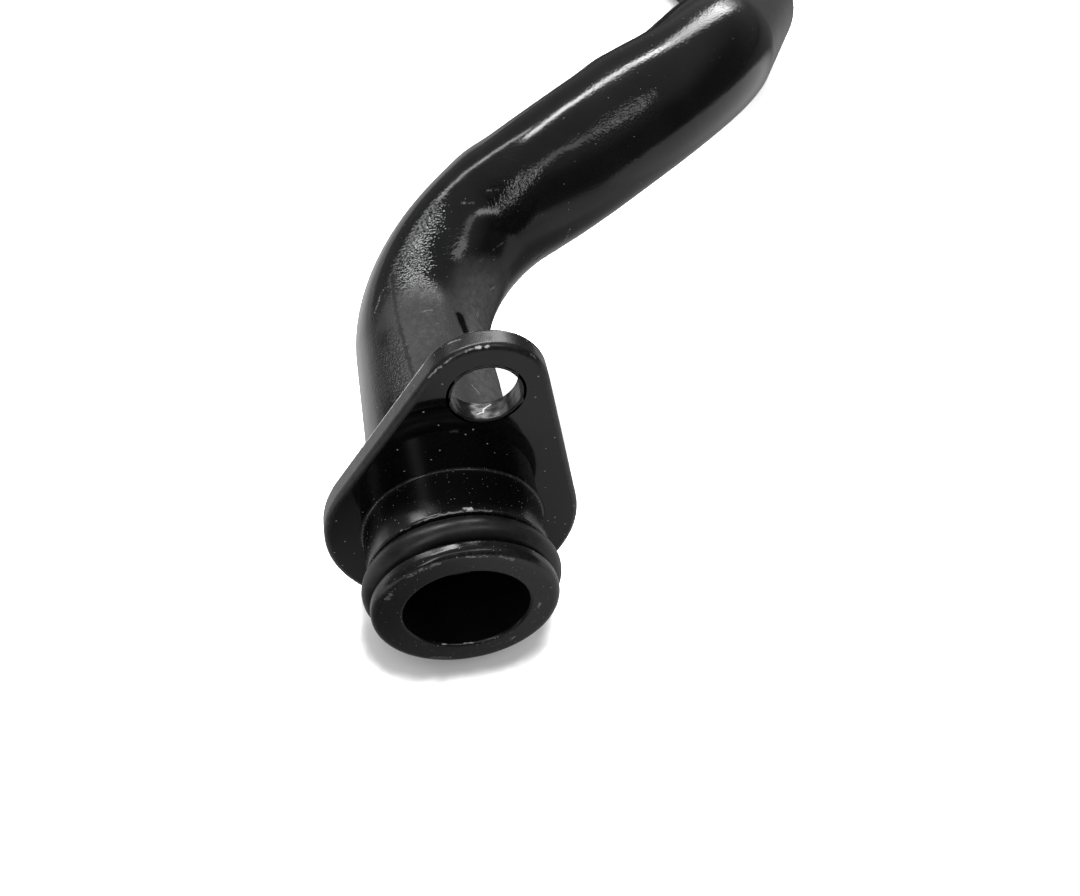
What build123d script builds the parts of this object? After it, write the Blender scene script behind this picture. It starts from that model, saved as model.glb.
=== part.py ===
from build123d import *
import os
from math import cos, radians, sin, sqrt, tan

# Coolant pipe of bent steel tube, with a bolt-on flange and a turned spigot that takes an O-ring.
# Millimetres, +Z up. The origin is the centre of the flange's seating face, on the spigot's axis.
# The spigot's mouth points along -Y, and the tube leaves the back of the flange along +Y.
# The pipe lies on the lowest point of the flange's rim and on the tube's last run.

# Tube
tube_diameter = 22.0
tube_wall = 1.5
first_bend_radius = 22.0
second_bend_radius = 38.0
third_bend_radius = 22.0

# Route of the tube's centre line, corner to corner
first_run = 58.2
second_run = 57.5
second_run_rise = 35.9
third_run_heading = 26.5
third_run_fall = 19.8
last_run = 100.0
last_run_heading = -12.0

# Rolled bead that keeps a hose on the far end
hose_bead_height = 0.8
hose_bead_width = 5.0
hose_bead_setback = 8.0
tube_end_edge_radius = 0.4

# Flange, a stamped plate with one bolt hole
flange_thickness = 3.2
flange_radius = 18.0
bolt_hole_diameter = 9.0
bolt_hole_offset = 26.5
bolt_hole_roll = 10.0
bolt_end_radius = 8.2
flange_front_edge_radius = 0.8
flange_back_edge_radius = 0.4

# Spigot, turned from bar
spigot_diameter = 25.5
spigot_projection = 14.0
mouth_bore_diameter = 17.0
mouth_bore_edge_radius = 0.5
lip_thickness = 2.0
lip_front_edge_radius = 1.0
lip_back_edge_radius = 0.3
shoulder_edge_chamfer = 0.3
tube_socket_depth = 5.2

# O-ring and its groove
o_ring_section = 3.5
groove_width = 4.7
groove_diameter = 20.2
o_ring_seat_clearance = 0.05

# Brazed joint
braze_clearance = 0.05
braze_leg = 2.6
braze_hollow = 0.35

tube_radius = tube_diameter / 2
tube_bore_radius = tube_radius - tube_wall
spigot_radius = spigot_diameter / 2
mouth_bore_radius = mouth_bore_diameter / 2
groove_radius = groove_diameter / 2

# The flange's back face, where the tube and the spigot's back end come out
flange_back = flange_thickness
mouth = -spigot_projection
lip_back = mouth + lip_thickness
shoulder = lip_back + groove_width
socket_floor = flange_back - tube_socket_depth

# Corners of the route: the first bend is square, and the second run stays parallel to the flange
rest_level = -flange_radius
tube_start = Vector(0, socket_floor, 0)
first_corner = Vector(0, first_run, 0)
rise = radians(second_run_rise)
second_corner = first_corner + Vector(cos(rise), 0, sin(rise)) * second_run

# The third run falls until the tube's underside comes down to the level of the flange's lowest point
heading = radians(third_run_heading)
drop = second_corner.Z - (rest_level + tube_radius)
third_run_reach = drop / tan(radians(third_run_fall))
third_corner = second_corner + Vector(sin(heading) * third_run_reach, cos(heading) * third_run_reach, -drop)

# The last run lies on the tube at one end and on the bead at the other
last_heading = radians(last_run_heading)
last_slope = hose_bead_height / (last_run - hose_bead_setback)
last_direction = Vector(sin(last_heading), cos(last_heading), last_slope).normalized()
tube_end = third_corner + last_direction * last_run
bead_centre = tube_end - last_direction * hose_bead_setback

# A plane across the last run has its normal along the run and its x direction level
across_last_run = Vector(cos(last_heading), -sin(last_heading), 0)
bead_plane = Plane(origin=bead_centre, x_dir=across_last_run, z_dir=across_last_run.cross(last_direction))
last_run_axis = Axis(tube_end, last_direction)

# Sketches of the flange and of bolt positions lie in the seating face and are seen from its front
seating_plane = Plane(origin=(0, 0, 0), x_dir=(1, 0, 0), z_dir=(0, -1, 0))
roll = radians(bolt_hole_roll)
bolt_hole_centre = (bolt_hole_offset * sin(roll), bolt_hole_offset * cos(roll))


# Tube: one length of steel tube, bent three times, with a bead rolled into its wall near the free end
with BuildPart() as pipe_tube:
    with BuildLine() as tube_route:
        FilletPolyline(
            tube_start,
            first_corner,
            second_corner,
            third_corner,
            tube_end,
            radius=[first_bend_radius, second_bend_radius, third_bend_radius],
        )
    with BuildSketch(Plane(origin=tube_start, x_dir=(1, 0, 0), z_dir=(0, 1, 0))):
        Circle(tube_radius)
        Circle(tube_bore_radius, mode=Mode.SUBTRACT)
    sweep(path=tube_route.wire())

    # The bead is a low arc on the outside of the wall, and the same arc hollowed out of its inside
    bead_half_width = hose_bead_width / 2
    with BuildSketch(bead_plane):
        with BuildLine():
            ThreePointArc(
                (tube_radius, -bead_half_width),
                (tube_radius + hose_bead_height, 0),
                (tube_radius, bead_half_width),
            )
            Polyline(
                (tube_radius, bead_half_width),
                (tube_radius - tube_wall / 2, bead_half_width),
                (tube_radius - tube_wall / 2, -bead_half_width),
                (tube_radius, -bead_half_width),
            )
        make_face()
    revolve(axis=last_run_axis)
    with BuildSketch(bead_plane):
        with BuildLine():
            ThreePointArc(
                (tube_bore_radius, -bead_half_width),
                (tube_bore_radius + hose_bead_height, 0),
                (tube_bore_radius, bead_half_width),
            )
            Polyline(
                (tube_bore_radius, bead_half_width),
                (tube_bore_radius - tube_wall / 2, bead_half_width),
                (tube_bore_radius - tube_wall / 2, -bead_half_width),
                (tube_bore_radius, -bead_half_width),
            )
        make_face()
    revolve(axis=last_run_axis, mode=Mode.SUBTRACT)

    # Both edges of the free end are rounded, so that a hose slides on without being cut
    free_end = pipe_tube.faces().sort_by_distance(tube_end)[0]
    fillet(free_end.edges(), tube_end_edge_radius)
pipe_tube.part.label = "pipe_tube"


# Flange: the outline is a large round end and a small one, joined by their common tangents
with BuildPart() as mounting_flange:
    with BuildSketch(seating_plane):
        Circle(flange_radius)
        with Locations(bolt_hole_centre):
            Circle(bolt_end_radius)
        make_hull()
    extrude(amount=-flange_thickness)
    front_rim = mounting_flange.faces().sort_by(Axis.Y)[0].edges()
    back_rim = mounting_flange.faces().sort_by(Axis.Y)[-1].edges()
    fillet(front_rim, flange_front_edge_radius)
    fillet(back_rim, flange_back_edge_radius)
    with BuildSketch(seating_plane):
        Circle(spigot_radius + braze_clearance)
        with Locations(bolt_hole_centre):
            Circle(bolt_hole_diameter / 2)
    extrude(amount=-flange_thickness, mode=Mode.SUBTRACT)
mounting_flange.part.label = "mounting_flange"


# Spigot: turned ring that passes through the flange, with the groove in front and a socket behind
with BuildPart() as spigot:
    with BuildSketch(Plane.XY):
        with BuildLine():
            Polyline(
                (mouth_bore_radius, mouth),
                (spigot_radius, mouth),
                (spigot_radius, lip_back),
                (groove_radius, lip_back),
                (groove_radius, shoulder),
                (spigot_radius, shoulder),
                (spigot_radius, flange_back),
                (tube_radius + braze_clearance, flange_back),
                (tube_radius + braze_clearance, socket_floor),
                (mouth_bore_radius, socket_floor),
                close=True,
            )
        make_face()
    revolve(axis=Axis.Y)
    turned_edges = spigot.edges().filter_by(GeomType.CIRCLE)
    mouth_edges = turned_edges.filter_by_position(Axis.Y, mouth, mouth).sort_by(SortBy.RADIUS)
    lip_back_edges = turned_edges.filter_by_position(Axis.Y, lip_back, lip_back).sort_by(SortBy.RADIUS)
    shoulder_edges = turned_edges.filter_by_position(Axis.Y, shoulder, shoulder).sort_by(SortBy.RADIUS)
    fillet(mouth_edges[-1], lip_front_edge_radius)
    fillet(mouth_edges[0], mouth_bore_edge_radius)
    fillet(lip_back_edges[-1], lip_back_edge_radius)
    chamfer(shoulder_edges[-1], shoulder_edge_chamfer)
spigot.part.label = "spigot"


# O-ring: it sits on the floor of the groove, midway along it, at its free section
o_ring_centre_radius = groove_radius + o_ring_seat_clearance + o_ring_section / 2
with BuildPart() as o_ring:
    with BuildSketch(Plane.XY):
        with Locations((o_ring_centre_radius, (lip_back + shoulder) / 2)):
            Circle(o_ring_section / 2)
    revolve(axis=Axis.Y)
o_ring.part.label = "o_ring"


# Braze: a slightly hollow fillet behind the flange that joins the tube, the spigot and the plate
with BuildPart() as braze_ring:
    braze_middle = braze_leg / 2 - braze_hollow / sqrt(2)
    with BuildSketch(Plane.XY):
        with BuildLine():
            Polyline(
                (tube_radius, flange_back + braze_leg),
                (tube_radius, flange_back),
                (tube_radius + braze_leg, flange_back),
            )
            ThreePointArc(
                (tube_radius + braze_leg, flange_back),
                (tube_radius + braze_middle, flange_back + braze_middle),
                (tube_radius, flange_back + braze_leg),
            )
        make_face()
    revolve(axis=Axis.Y)
braze_ring.part.label = "braze_ring"


os.makedirs("parts", exist_ok=True)
export_step(pipe_tube.part, "parts/pipe_tube.step")
export_step(mounting_flange.part, "parts/mounting_flange.step")
export_step(spigot.part, "parts/spigot.step")
export_step(o_ring.part, "parts/o_ring.step")
export_step(braze_ring.part, "parts/braze_ring.step")
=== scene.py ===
"""A bent coolant pipe with a bolt-on flange, a turned spigot and its O-ring, painted gloss black.

The pipe lies on a pale studio floor with its spigot's mouth towards the camera.
Lengths are metres, +Z is up, and the origin is the centre of the flange's seating face.
"""
import logging
import math
from dataclasses import dataclass, field
from enum import Enum

import bmesh
import bpy
import numpy as np
from bpy.types import ID, Material, Node, NodeSocket, NodeTree, Object, bpy_prop_collection
from mathutils import Matrix, Vector
from mathutils.geometry import delaunay_2d_cdt


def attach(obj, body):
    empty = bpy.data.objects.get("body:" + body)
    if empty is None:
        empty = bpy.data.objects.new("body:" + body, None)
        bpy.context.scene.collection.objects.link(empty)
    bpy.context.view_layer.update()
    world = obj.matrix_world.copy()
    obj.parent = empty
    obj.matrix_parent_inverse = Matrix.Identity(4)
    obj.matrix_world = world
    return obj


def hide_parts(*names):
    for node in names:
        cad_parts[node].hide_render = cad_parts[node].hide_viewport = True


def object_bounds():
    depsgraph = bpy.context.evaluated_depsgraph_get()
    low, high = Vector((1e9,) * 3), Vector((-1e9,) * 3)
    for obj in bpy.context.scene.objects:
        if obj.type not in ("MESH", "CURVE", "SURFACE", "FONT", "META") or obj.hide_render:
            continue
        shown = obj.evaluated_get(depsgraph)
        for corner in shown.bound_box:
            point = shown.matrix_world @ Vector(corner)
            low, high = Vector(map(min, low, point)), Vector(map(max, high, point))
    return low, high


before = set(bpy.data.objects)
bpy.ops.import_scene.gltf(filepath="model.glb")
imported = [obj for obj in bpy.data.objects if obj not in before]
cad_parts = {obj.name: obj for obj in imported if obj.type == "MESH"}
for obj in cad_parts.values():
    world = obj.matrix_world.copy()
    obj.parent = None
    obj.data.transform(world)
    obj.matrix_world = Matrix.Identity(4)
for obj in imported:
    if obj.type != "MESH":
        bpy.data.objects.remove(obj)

log = logging.getLogger("coolant_pipe")

MM = 0.001
BODY = "root"
FLOOR_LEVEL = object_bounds()[0].z
ZERO = (0.0, 0.0, 0.0)
FINISH_IOR = 1.5

Pair = tuple[float, float]
Triple = tuple[float, float, float]
Value = float | tuple[float, ...] | NodeSocket


class Slot(Enum):
    """The record's material slots."""

    TUBE = "tube_paint"
    FLANGE = "flange_paint"
    SPIGOT = "spigot_paint"
    BRAZE = "braze"
    RUBBER = "ring_rubber"


class NodeSheet:
    """A node tree with short calls for adding and joining nodes."""

    def __init__(self, tree: NodeTree) -> None:
        """Keep the tree and empty it.

        Args:
            tree: the node tree to fill.
        """
        self.tree = tree
        tree.nodes.clear()

    def add(self, kind: str, values: dict | None = None, **settings: object) -> Node:
        """Add one node.

        Args:
            kind: the node's class name.
            values: socket name or index to a value, or to an output socket to join.
            settings: attributes of the node itself.

        Returns:
            The new node.
        """
        node = self.tree.nodes.new(kind)
        for name, value in settings.items():
            setattr(node, name, value)
        for key, value in (values or {}).items():
            socket = node.inputs[key]
            if isinstance(value, NodeSocket):
                self.tree.links.new(value, socket)
            else:
                socket.default_value = value
        return node

    def math(
        self, operation: str, first: Value, second: Value = 0.0, third: Value = 0.0, clamp: bool = False
    ) -> NodeSocket:
        """Add a Math node and return its result."""
        values = {0: first, 1: second, 2: third}
        return self.add("ShaderNodeMath", values, operation=operation, use_clamp=clamp).outputs[0]

    def vector(self, operation: str, first: Value, second: Value = ZERO) -> NodeSocket:
        """Add a Vector Math node and return its number for a product or distance, or else its vector."""
        node = self.add("ShaderNodeVectorMath", {0: first, 1: second}, operation=operation)
        return node.outputs["Value" if operation in ("DOT_PRODUCT", "DISTANCE") else "Vector"]

    def scaled(self, vector: Value, factor: Value) -> NodeSocket:
        """Scale a vector by a number and return the vector."""
        return self.add("ShaderNodeVectorMath", {0: vector, "Scale": factor}, operation="SCALE").outputs[0]

    def ramp(self, value: Value, low: float, high: float, start: Value = 0.0, end: Value = 1.0) -> NodeSocket:
        """Add a smooth Map Range node and return its result."""
        values = {"Value": value, "From Min": low, "From Max": high, "To Min": start, "To Max": end}
        return self.add("ShaderNodeMapRange", values, interpolation_type="SMOOTHSTEP").outputs["Result"]

    def noise(self, vector: Value, size: float, detail: float = 2.0, roughness: float = 0.5) -> NodeSocket:
        """Add a Noise Texture whose features are about size metres across and return its value."""
        values = {"Vector": vector, "Scale": 1.0 / size, "Detail": detail, "Roughness": roughness}
        return self.add("ShaderNodeTexNoise", values, normalize=True).outputs[0]

    def mix(self, factor: Value, first: Value, second: Value, blend: str = "MIX") -> NodeSocket:
        """Mix two colours and return the colour."""
        values = {0: factor, 6: first, 7: second}
        return self.add("ShaderNodeMix", values, data_type="RGBA", blend_type=blend).outputs[2]

    def cover(self, mask: Value, share: float, under: Value, tint: Triple) -> NodeSocket:
        """Lay a plain colour over another where a mask stands, as far as it covers."""
        return self.mix(self.math("MULTIPLY", mask, share), under, (*tint, 1.0))

    def grey(self, level: Value) -> NodeSocket:
        """The grey colour of a level."""
        return self.add("ShaderNodeCombineColor", {0: level, 1: level, 2: level}).outputs[0]

    def rays(self) -> tuple[NodeSocket, NodeSocket]:
        """Tell where the camera looks straight at something, and where it is seen mirrored."""
        kinds = self.add("ShaderNodeLightPath").outputs
        mirrored = self.math("MAXIMUM", kinds["Is Glossy Ray"], kinds["Is Transmission Ray"])
        return kinds["Is Camera Ray"], mirrored

    def surface(
        self, colour: Value, roughness: Value, height: Value, relief: float, strength: float = 1.0
    ) -> None:
        """Finish a material with a Principled surface and its relief.

        Args:
            colour: the base colour.
            roughness: the roughness.
            height: the shape of the relief.
            relief: the depth of the relief in metres.
            strength: how much of the relief shows.
        """
        bump = self.add("ShaderNodeBump", {"Strength": strength, "Distance": relief, "Height": height})
        values = {"Base Color": colour, "Roughness": roughness, "IOR": FINISH_IOR, "Normal": bump.outputs[0]}
        shader = self.add("ShaderNodeBsdfPrincipled", values)
        self.add("ShaderNodeOutputMaterial", {"Surface": shader.outputs[0]})


def start_material(name: str) -> tuple[Material, NodeSheet, NodeSocket]:
    """Start a material whose patterns lie on the object's own coordinates.

    Args:
        name: the material's name.

    Returns:
        The material, its sheet and the coordinates.
    """
    material = bpy.data.materials.new(name)
    material.use_nodes = True
    sheet = NodeSheet(material.node_tree)
    return material, sheet, sheet.add("ShaderNodeTexCoord").outputs["Object"]


def shader_group(
    name: str, inputs: dict[str, Value], *outputs: str
) -> tuple[NodeTree, NodeSheet, bpy_prop_collection]:
    """Start a shader node group.

    Args:
        name: the group's name.
        inputs: input name to its default, a number or a vector.
        outputs: the names of the masks or heights that it puts out.

    Returns:
        The tree, its sheet and the sockets that bring its inputs.
    """
    tree = bpy.data.node_groups.new(name, "ShaderNodeTree")
    for label, default in inputs.items():
        kind = "NodeSocketVector" if isinstance(default, tuple) else "NodeSocketFloat"
        socket = tree.interface.new_socket(label, in_out="INPUT", socket_type=kind)
        socket.default_value = default
    for label in outputs:
        tree.interface.new_socket(label, in_out="OUTPUT", socket_type="NodeSocketFloat")
    sheet = NodeSheet(tree)
    return tree, sheet, sheet.add("NodeGroupInput").outputs


def paint_peel_group() -> NodeTree:
    """The relief of thick sprayed paint: slow waves, a fine orange peel and lumps where it pooled.

    Returns:
        The group, which puts out a height.
    """
    inputs = {
        "Vector": ZERO, "Wave Size": 0.004, "Peel Size": 0.0006, "Peel Share": 0.5,
        "Lump Size": 0.002, "Lump Share": 0.0,
    }
    tree, sheet, given = shader_group("paint_peel", inputs, "Height")

    def bumps(size: str, factor: float = 1.0) -> NodeSocket:
        """Noise of one of the given sizes, times a factor."""
        per_metre = sheet.math("DIVIDE", 1.0, sheet.math("MULTIPLY", given[size], factor))
        return sheet.noise(sheet.scaled(given["Vector"], per_metre), 1.0, 1.0)

    waves = bumps("Wave Size")
    peel = bumps("Peel Size")
    strength = sheet.ramp(bumps("Wave Size", 2.5), 0.38, 0.62, 0.35, 1.0)
    share = sheet.math("MULTIPLY", given["Peel Share"], strength)
    fine = sheet.math("MULTIPLY", sheet.math("SUBTRACT", peel, 0.5), share)
    even = sheet.math("ADD", waves, fine)
    height = sheet.math("MULTIPLY_ADD", bumps("Lump Size"), given["Lump Share"], even)
    sheet.add("NodeGroupOutput", {"Height": height})
    return tree


def dust_group() -> NodeTree:
    """Specks of dust and paint nibs scattered over a surface.

    Returns:
        The group, which puts out a mask.
    """
    inputs = {"Vector": ZERO, "Spacing": 0.002, "Speck Size": 0.00012, "Share": 0.4}
    least_size = 1e-6
    tree, sheet, given = shader_group("dust_specks", inputs, "Mask")
    at = sheet.scaled(given["Vector"], sheet.math("DIVIDE", 1.0, given["Spacing"]))
    cells = sheet.add("ShaderNodeTexVoronoi", {"Vector": at, "Scale": 1.0})
    chance = sheet.add("ShaderNodeSeparateColor", {0: cells.outputs["Color"]})
    metres = sheet.math("MULTIPLY", cells.outputs["Distance"], given["Spacing"])
    size = sheet.math("MULTIPLY", given["Speck Size"], chance.outputs["Green"])
    sizes_away = sheet.math("DIVIDE", metres, sheet.math("ADD", size, least_size))
    inside = sheet.ramp(sizes_away, 0.6, 1.0, 1.0, 0.0)
    chosen = sheet.math("LESS_THAN", chance.outputs["Red"], given["Share"])
    sheet.add("NodeGroupOutput", {"Mask": sheet.math("MULTIPLY", inside, chosen)})
    return tree


def scratch_and_glint_group() -> NodeTree:
    """One scratch, crease or painted glint: a straight, slightly ragged line between two points.

    Returns:
        The group, which puts out a mask.
    """
    inputs = {"Vector": ZERO, "Start": ZERO, "End": ZERO, "Width": 0.0003, "Ragged": 1.0}
    wobbles_per_metre, wobble_widths = 1500.0, 2.4
    tree, sheet, given = shader_group("scratch_and_glint_line", inputs, "Mask")
    values = {"Vector": given["Vector"], "Scale": wobbles_per_metre, "Detail": 2.0}
    wobble = sheet.add("ShaderNodeTexNoise", values).outputs["Color"]
    widths = sheet.math("MULTIPLY", given["Width"], wobble_widths)
    shift = sheet.scaled(sheet.vector("SUBTRACT", wobble, (0.5, 0.5, 0.5)), widths)
    away = sheet.vector("SUBTRACT", sheet.vector("ADD", given["Vector"], shift), given["Start"])
    line = sheet.vector("SUBTRACT", given["End"], given["Start"])
    reach = sheet.vector("DOT_PRODUCT", away, line)
    share = sheet.math("DIVIDE", reach, sheet.vector("DOT_PRODUCT", line, line), clamp=True)
    gap = sheet.vector("DISTANCE", away, sheet.scaled(line, share))
    mask = sheet.ramp(sheet.math("DIVIDE", gap, given["Width"]), 0.3, 1.0, 1.0, 0.0)
    breaks = sheet.ramp(sheet.noise(given["Vector"], 0.0005), 0.38, 0.55, 1.0, 0.0)
    kept = sheet.math("SUBTRACT", 1.0, sheet.math("MULTIPLY", breaks, given["Ragged"]))
    sheet.add("NodeGroupOutput", {"Mask": sheet.math("MULTIPLY", mask, kept)})
    return tree


def edge_wear_and_glint_group() -> NodeTree:
    """Paint rubbed thin along a piece's edges, with broken chips in it. On the spigot's shoulder and seam the
    pale chips also paint highlight lines.

    Returns:
        The group, which puts out a mask of the chips and one of the rubbed band.
    """
    inputs = {"Vector": ZERO, "Edge": 0.0, "Grain": 0.0012, "Amount": 0.5}
    tree, sheet, given = shader_group("edge_wear_and_glint", inputs, "Mask", "Rub")
    at = sheet.scaled(given["Vector"], sheet.math("DIVIDE", 1.0, given["Grain"]))
    grain = sheet.noise(at, 1.0, 3.0, 0.6)
    limit = sheet.math("SUBTRACT", 1.0, sheet.math("MULTIPLY", given["Edge"], given["Amount"]))
    mask = sheet.ramp(sheet.math("SUBTRACT", grain, limit), -0.03, 0.05)
    rub = sheet.math("MULTIPLY", given["Edge"], sheet.ramp(grain, 0.3, 0.65, 0.3, 1.0))
    sheet.add("NodeGroupOutput", {"Mask": mask, "Rub": sheet.math("MULTIPLY", rub, given["Amount"])})
    return tree


@dataclass(frozen=True)
class ScratchOrGlint:
    """A scratch or chip in the paint, or a glint or highlight line painted in a pale tone, between two points
    on the surface.
    """

    start: Triple
    end: Triple
    width: float = 0.00025
    tone: float = 0.16
    ragged: float = 1.0


@dataclass(frozen=True)
class SprayPatch:
    """A place along a line where the paint went on unevenly: grainy, matt or lumpy."""

    start: Triple
    end: Triple
    radius: float
    grain: float = 0.0
    matt: float = 0.0
    lump: float = 0.0


@dataclass
class PaintShop:
    """The shared shader groups, built once."""

    peel: NodeTree = field(default_factory=paint_peel_group)
    dust: NodeTree = field(default_factory=dust_group)
    scratch_and_glint: NodeTree = field(default_factory=scratch_and_glint_group)
    edge_wear_and_glint: NodeTree = field(default_factory=edge_wear_and_glint_group)


@dataclass(frozen=True)
class BlackPaint:
    """Sprayed black paint on steel, with its peel, dust, worn edges and scratches, and glints and highlight
    lines painted as pale scratches.

    Sizes and the relief are metres. A matt is what it adds to the roughness, a cover how far it hides the
    paint, and a height or depth a share of the relief.
    """

    name: str
    colour: Triple = (0.0052, 0.0053, 0.0056)
    bare: Triple = (0.16, 0.16, 0.155)
    roughness: float = 0.12
    least_roughness: float = 0.04
    relief: float = 0.00003
    wave_size: float = 0.004
    peel_size: float = 0.0004
    peel_share: float = 0.7
    lump_size: float = 0.0022
    inner_lumps: float = 0.0
    inner_matt: float = 0.0
    mottle_size: float = 0.0012
    tone_size: float = 0.006
    smear_size: float = 0.009
    smear_matt: float = 0.05
    dry_colour: Triple = (0.1, 0.1, 0.1)
    dry_cover: float = 0.5
    dust_spacing: float = 0.0009
    dust_size: float = 0.00011
    dust_share: float = 0.35
    dust_colour: Triple = (0.4, 0.4, 0.39)
    dust_cover: float = 0.6
    dust_height: float = 0.6
    dust_roughness: float = 0.8
    edge_amount: float = 0.0
    edge_grain: float = 0.0006
    edge_matt: float = 0.0
    rub_cover: float = 0.35
    chip_cover: float = 0.75
    scratch_and_glint_cover: float = 0.85
    worn_depth: float = 0.4
    worn_roughness: float = 0.45
    crease_depth: float = 0.8
    crease_roughness: float = 0.85
    scratches_and_glints: tuple[ScratchOrGlint, ...] = ()
    creases: tuple[ScratchOrGlint, ...] = ()
    patches: tuple[SprayPatch, ...] = ()

    def material(self, shop: PaintShop) -> Material:
        """Build the material.

        Args:
            shop: the shared groups.

        Returns:
            The material.
        """
        material, sheet, at = start_material(self.name)

        def group(tree: NodeTree, **values: Value) -> Node:
            """Place a shared group at this surface's own coordinates."""
            given = {label.replace("_", " "): value for label, value in values.items()}
            return sheet.add("ShaderNodeGroup", {"Vector": at} | given, node_tree=tree)

        def strongest(masks: list[NodeSocket]) -> Value:
            """The greatest of several masks, or 0 where there are none."""
            total = masks[0] if masks else 0.0
            for mask in masks[1:]:
                total = sheet.math("MAXIMUM", total, mask)
            return total

        def lines(marks: tuple[ScratchOrGlint, ...]) -> list[NodeSocket]:
            """The masks of some scratches, creases or painted glints."""
            return [
                group(shop.scratch_and_glint, Start=m.start, End=m.end, Width=m.width, Ragged=m.ragged).outputs[0]
                for m in marks
            ]

        def stored(name: str) -> NodeSocket:
            """A number that the mesh carries, or 0 where it carries none."""
            return sheet.add("ShaderNodeAttribute", attribute_name=name).outputs["Fac"]

        mottle = sheet.ramp(sheet.noise(at, self.mottle_size, 5.0, 0.75), 0.34, 0.6, 0.6, 1.0)
        inner = stored("inner")
        lumps = sheet.math("MULTIPLY_ADD", inner, self.inner_lumps, stored("lump"))
        peel = sheet.math("MULTIPLY_ADD", stored("grain"), mottle, self.peel_share)
        height = group(
            shop.peel, Wave_Size=self.wave_size, Peel_Size=self.peel_size, Lump_Size=self.lump_size,
            Peel_Share=peel, Lump_Share=lumps,
        ).outputs[0]
        dust_share = sheet.math("MULTIPLY", sheet.math("SUBTRACT", 1.0, inner), self.dust_share)
        dust = group(
            shop.dust, Spacing=self.dust_spacing, Speck_Size=self.dust_size, Share=dust_share
        ).outputs[0]
        edge = stored("edge")
        wear = group(shop.edge_wear_and_glint, Edge=edge, Grain=self.edge_grain, Amount=self.edge_amount)
        marks = lines(self.scratches_and_glints)
        # The worn mask also carries the painted glints and highlight lines.
        worn = strongest([wear.outputs["Mask"], *marks])

        tone = sheet.ramp(sheet.noise(at, self.tone_size, 3.0), 0.3, 0.7, 0.8, 1.3)
        colour = sheet.mix(1.0, (*self.colour, 1.0), sheet.grey(tone), "MULTIPLY")
        film = sheet.math("MULTIPLY", stored("matt"), mottle)
        dry = sheet.math("MAXIMUM", sheet.math("MULTIPLY", film, self.dry_cover), 0.0)
        colour = sheet.mix(dry, colour, (*self.dry_colour, 1.0))
        # Rubbed paint and chips take the bare colour; on the spigot the pale chips also paint highlight
        # lines.
        colour = sheet.cover(wear.outputs["Rub"], self.rub_cover, colour, self.bare)
        colour = sheet.cover(wear.outputs["Mask"], self.chip_cover, colour, self.bare)
        # Each scratch takes its own tone; the pale tones paint glints and highlight lines.
        for mask, mark in zip(marks, self.scratches_and_glints):
            colour = sheet.cover(mask, self.scratch_and_glint_cover, colour, (mark.tone,) * 3)
        colour = sheet.cover(dust, self.dust_cover, colour, self.dust_colour)

        smear = sheet.ramp(sheet.noise(at, self.smear_size, 4.0, 0.6), 0.45, 0.75, 0.0, self.smear_matt)
        rough = sheet.math("ADD", sheet.math("ADD", film, self.roughness), smear)
        rough = sheet.math("MULTIPLY_ADD", inner, self.inner_matt, rough)
        rough = sheet.math("MULTIPLY_ADD", edge, self.edge_matt, rough)
        rough = sheet.math("MAXIMUM", rough, self.least_roughness)
        crease = strongest(lines(self.creases))
        rough = sheet.ramp(crease, 0.0, 1.0, rough, self.crease_roughness)
        rough = sheet.ramp(worn, 0.0, 1.0, rough, self.worn_roughness)
        rough = sheet.ramp(dust, 0.0, 1.0, rough, self.dust_roughness)

        raised = sheet.math("MULTIPLY_ADD", dust, self.dust_height, height)
        raised = sheet.math("MULTIPLY_ADD", worn, -self.worn_depth, raised)
        raised = sheet.math("MULTIPLY_ADD", crease, -self.crease_depth, raised)
        sheet.surface(colour, rough, raised, self.relief)
        return material


@dataclass(frozen=True)
class RubberFinish:
    """Smooth moulded black rubber with a faint bloom and a few specks of dust."""

    name: str
    colour: Triple = (0.009, 0.009, 0.0095)
    roughness: float = 0.34
    bloom_size: float = 0.0025
    bloom_colour: Triple = (0.04, 0.04, 0.04)
    bloom_matt: float = 0.4
    dust_colour: Triple = (0.3, 0.3, 0.3)
    dust_cover: float = 0.5
    grain_size: float = 0.0002
    relief: float = 0.00001
    relief_strength: float = 0.35

    def material(self, shop: PaintShop) -> Material:
        """Build the material.

        Args:
            shop: the shared groups.

        Returns:
            The material.
        """
        material, sheet, at = start_material(self.name)
        dust = sheet.add("ShaderNodeGroup", {"Vector": at}, node_tree=shop.dust)
        bloom = sheet.ramp(sheet.noise(at, self.bloom_size, 4.0, 0.6), 0.4, 0.75, 0.0, 0.35)
        colour = sheet.mix(bloom, (*self.colour, 1.0), (*self.bloom_colour, 1.0))
        colour = sheet.cover(dust.outputs[0], self.dust_cover, colour, self.dust_colour)
        rough = sheet.math("ADD", self.roughness, sheet.math("MULTIPLY", bloom, self.bloom_matt))
        sheet.surface(colour, rough, sheet.noise(at, self.grain_size), self.relief, self.relief_strength)
        return material


def link_object(name: str, data: ID) -> Object:
    """Make an object from its data and link it to the scene."""
    piece = bpy.data.objects.new(name, data)
    bpy.context.scene.collection.objects.link(piece)
    return piece


def set_up(name: str, data: ID, axes: tuple[Vector, Vector, Vector], place: Vector) -> Object:
    """Link a lamp or a camera to the scene at its place.

    Args:
        name: the object's name.
        data: the lamp or camera.
        axes: the directions of its own X, Y and Z.
        place: where it stands.

    Returns:
        The object.
    """
    matrix = Matrix(axes).transposed().to_4x4()
    matrix.translation = place
    holder = link_object(name, data)
    holder.matrix_world = matrix
    return holder


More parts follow.
